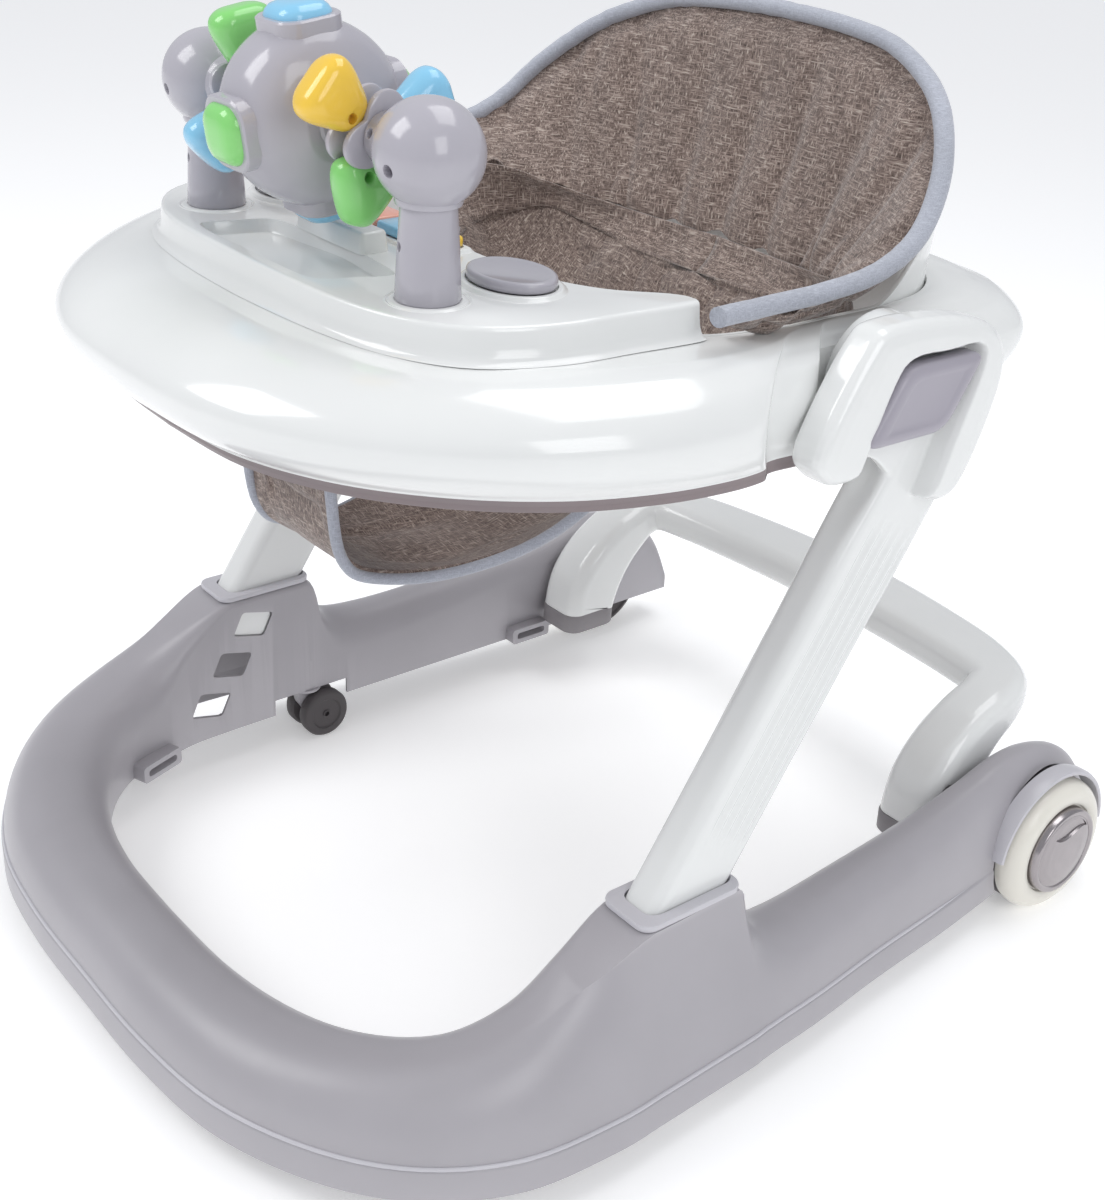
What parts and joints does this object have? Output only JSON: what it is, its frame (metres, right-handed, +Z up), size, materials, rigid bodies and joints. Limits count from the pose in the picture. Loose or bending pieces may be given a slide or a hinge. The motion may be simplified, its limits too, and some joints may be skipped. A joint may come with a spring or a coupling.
{
  "type": "baby walker",
  "caption": "Baby walker with a U-shaped rolling base, slanting height arms, a play tray with a toy bar and a padded fabric seat, and a rear handle.",
  "frame": {"origin": "on the ground at the middle of the walker's width and length", "axes": "+Z up; the child faces -Y; +X is the child's left; symmetric about X = 0"},
  "size_m": [0.5952, 0.7001, 0.6264],
  "materials": {
    "gloss_white": "gloss",
    "satin_grey": "satin",
    "tray_grey": "satin",
    "toy_grey": "gloss",
    "button_grey": "gloss",
    "dark_rubber": "matte",
    "cream_white": "gloss",
    "cap_silver": "gloss",
    "axle_steel": "brushed",
    "tip_rubber": "matte",
    "linen_brown": "woven",
    "toy_yellow": "gloss",
    "toy_green": "gloss",
    "toy_blue": "gloss",
    "key_coral": "gloss"
  },
  "bodies": {
    "base": {"base_shell": "satin_grey", "arm_collar_left": "satin_grey", "handle_pin_left": "tip_rubber", "rear_axle_left": "axle_steel", "arm_collar_right": "satin_grey", "handle_pin_right": "tip_rubber", "rear_axle_right": "axle_steel"},
    "arms": {"arm_left": "gloss_white", "arm_right": "gloss_white"},
    "tray": {"tray_top": "gloss_white", "tray_base": "tray_grey", "play_panel": "gloss_white", "seat_ring": "gloss_white", "seat_back": "linen_brown", "seat_sling": "linen_brown", "toy_axle": "axle_steel", "toy_post_left": "toy_grey", "toy_head_left": "toy_grey", "toy_post_right": "toy_grey", "toy_head_right": "toy_grey"},
    "handle": {"push_handle": "gloss_white", "handle_tip_left": "tip_rubber", "handle_tip_right": "tip_rubber"},
    "drum": {"drum": "toy_grey", "drum_pad_top": "toy_blue", "drum_pad_front": "toy_green", "drum_pad_bottom": "toy_blue", "drum_pad_rear": "toy_green"},
    "fold_button_left": {"fold_button_left": "button_grey"},
    "lock_button_left": {"lock_button_left": "gloss_white"},
    "rear_wheel_left": {"rear_tyre_left": "dark_rubber", "rear_rim_left": "cream_white", "rear_cap_left": "cap_silver"},
    "spinner_left": {"spinner_hub_left": "toy_grey", "bead_left_yellow": "toy_yellow", "bead_left_green": "toy_green", "bead_left_blue": "toy_blue"},
    "music_pad_left": {"music_pad_left": "toy_grey"},
    "caster_front_left": {"caster_fork_front_left": "satin_grey"},
    "caster_wheels_front_left": {"caster_wheels_front_left": "dark_rubber"},
    "caster_middle_left": {"caster_fork_middle_left": "satin_grey"},
    "caster_wheels_middle_left": {"caster_wheels_middle_left": "dark_rubber"},
    "fold_button_right": {"fold_button_right": "button_grey"},
    "lock_button_right": {"lock_button_right": "gloss_white"},
    "rear_wheel_right": {"rear_tyre_right": "dark_rubber", "rear_rim_right": "cream_white", "rear_cap_right": "cap_silver"},
    "spinner_right": {"spinner_hub_right": "toy_grey", "bead_right_yellow": "toy_yellow", "bead_right_green": "toy_green", "bead_right_blue": "toy_blue"},
    "music_pad_right": {"music_pad_right": "toy_grey"},
    "caster_front_right": {"caster_fork_front_right": "satin_grey"},
    "caster_wheels_front_right": {"caster_wheels_front_right": "dark_rubber"},
    "caster_middle_right": {"caster_fork_middle_right": "satin_grey"},
    "caster_wheels_middle_right": {"caster_wheels_middle_right": "dark_rubber"},
    "key_coral": {"key_coral": "key_coral"},
    "key_blue": {"key_blue": "toy_blue"},
    "key_yellow": {"key_yellow": "toy_yellow"}
  },
  "joints": [
    {"name": "height_slide", "type": "slide", "parent": "base", "child": "arms", "axis": [0, 0.5519, 0.8339], "range_m": [-0.072, 0]},
    {"name": "tray_fold", "type": "hinge", "parent": "arms", "child": "tray", "pos_m": [0, 0.05, 0.44], "axis": [-1, 0, 0], "range_deg": [0, 70]},
    {"name": "handle_tilt", "type": "hinge", "parent": "base", "child": "handle", "pos_m": [0, 0.208, 0.088], "axis": [1, 0, 0], "range_deg": [0, 95]},
    {"name": "drum_spin", "type": "hinge", "parent": "tray", "child": "drum", "pos_m": [0, -0.1725, 0.564], "axis": [1, 0, 0], "continuous": true},
    {"name": "fold_button_left_press", "type": "slide", "parent": "arms", "child": "fold_button_left", "axis": [-1, 0, 0], "range_m": [0, 0.004], "stiffness_N_per_m": 800, "springref_m": -0.002},
    {"name": "lock_button_left_press", "type": "slide", "parent": "arms", "child": "lock_button_left", "axis": [1, 0, 0], "range_m": [0, 0.004], "stiffness_N_per_m": 800, "springref_m": -0.002},
    {"name": "rear_wheel_left_roll", "type": "hinge", "parent": "base", "child": "rear_wheel_left", "pos_m": [0.262, 0.269, 0.051], "axis": [1, 0, 0], "continuous": true},
    {"name": "spinner_left_spin", "type": "hinge", "parent": "tray", "child": "spinner_left", "pos_m": [0.064, -0.1725, 0.564], "axis": [1, 0, 0], "continuous": true},
    {"name": "music_pad_left_press", "type": "slide", "parent": "tray", "child": "music_pad_left", "axis": [0, 0, -1], "range_m": [0, 0.002], "stiffness_N_per_m": 900, "springref_m": -0.001},
    {"name": "caster_front_left_swivel", "type": "hinge", "parent": "base", "child": "caster_front_left", "pos_m": [0.12, -0.3025, 0.04], "axis": [0, 0, 1], "continuous": true},
    {"name": "caster_front_left_roll", "type": "hinge", "parent": "caster_front_left", "child": "caster_wheels_front_left", "pos_m": [0.12, -0.2925, 0.0205], "axis": [1, 0, 0], "continuous": true},
    {"name": "caster_middle_left_swivel", "type": "hinge", "parent": "base", "child": "caster_middle_left", "pos_m": [0.236, -0.0475, 0.04], "axis": [0, 0, 1], "continuous": true},
    {"name": "caster_middle_left_roll", "type": "hinge", "parent": "caster_middle_left", "child": "caster_wheels_middle_left", "pos_m": [0.236, -0.0375, 0.0205], "axis": [1, 0, 0], "continuous": true},
    {"name": "fold_button_right_press", "type": "slide", "parent": "arms", "child": "fold_button_right", "axis": [1, 0, 0], "range_m": [0, 0.004], "stiffness_N_per_m": 800, "springref_m": -0.002},
    {"name": "lock_button_right_press", "type": "slide", "parent": "arms", "child": "lock_button_right", "axis": [-1, 0, 0], "range_m": [0, 0.004], "stiffness_N_per_m": 800, "springref_m": -0.002},
    {"name": "rear_wheel_right_roll", "type": "hinge", "parent": "base", "child": "rear_wheel_right", "pos_m": [-0.262, 0.269, 0.051], "axis": [1, 0, 0], "continuous": true},
    {"name": "spinner_right_spin", "type": "hinge", "parent": "tray", "child": "spinner_right", "pos_m": [-0.064, -0.1725, 0.564], "axis": [1, 0, 0], "continuous": true},
    {"name": "music_pad_right_press", "type": "slide", "parent": "tray", "child": "music_pad_right", "axis": [0, 0, -1], "range_m": [0, 0.002], "stiffness_N_per_m": 900, "springref_m": -0.001},
    {"name": "caster_front_right_swivel", "type": "hinge", "parent": "base", "child": "caster_front_right", "pos_m": [-0.12, -0.3025, 0.04], "axis": [0, 0, 1], "continuous": true},
    {"name": "caster_front_right_roll", "type": "hinge", "parent": "caster_front_right", "child": "caster_wheels_front_right", "pos_m": [-0.12, -0.2925, 0.0205], "axis": [1, 0, 0], "continuous": true},
    {"name": "caster_middle_right_swivel", "type": "hinge", "parent": "base", "child": "caster_middle_right", "pos_m": [-0.236, -0.0475, 0.04], "axis": [0, 0, 1], "continuous": true},
    {"name": "caster_middle_right_roll", "type": "hinge", "parent": "caster_middle_right", "child": "caster_wheels_middle_right", "pos_m": [-0.236, -0.0375, 0.0205], "axis": [1, 0, 0], "continuous": true},
    {"name": "key_coral_press", "type": "slide", "parent": "tray", "child": "key_coral", "axis": [0, 0, -1], "range_m": [0, 0.002], "stiffness_N_per_m": 600, "springref_m": -0.001},
    {"name": "key_blue_press", "type": "slide", "parent": "tray", "child": "key_blue", "axis": [0, 0, -1], "range_m": [0, 0.002], "stiffness_N_per_m": 600, "springref_m": -0.001},
    {"name": "key_yellow_press", "type": "slide", "parent": "tray", "child": "key_yellow", "axis": [0, 0, -1], "range_m": [0, 0.002], "stiffness_N_per_m": 600, "springref_m": -0.001}
  ]
}
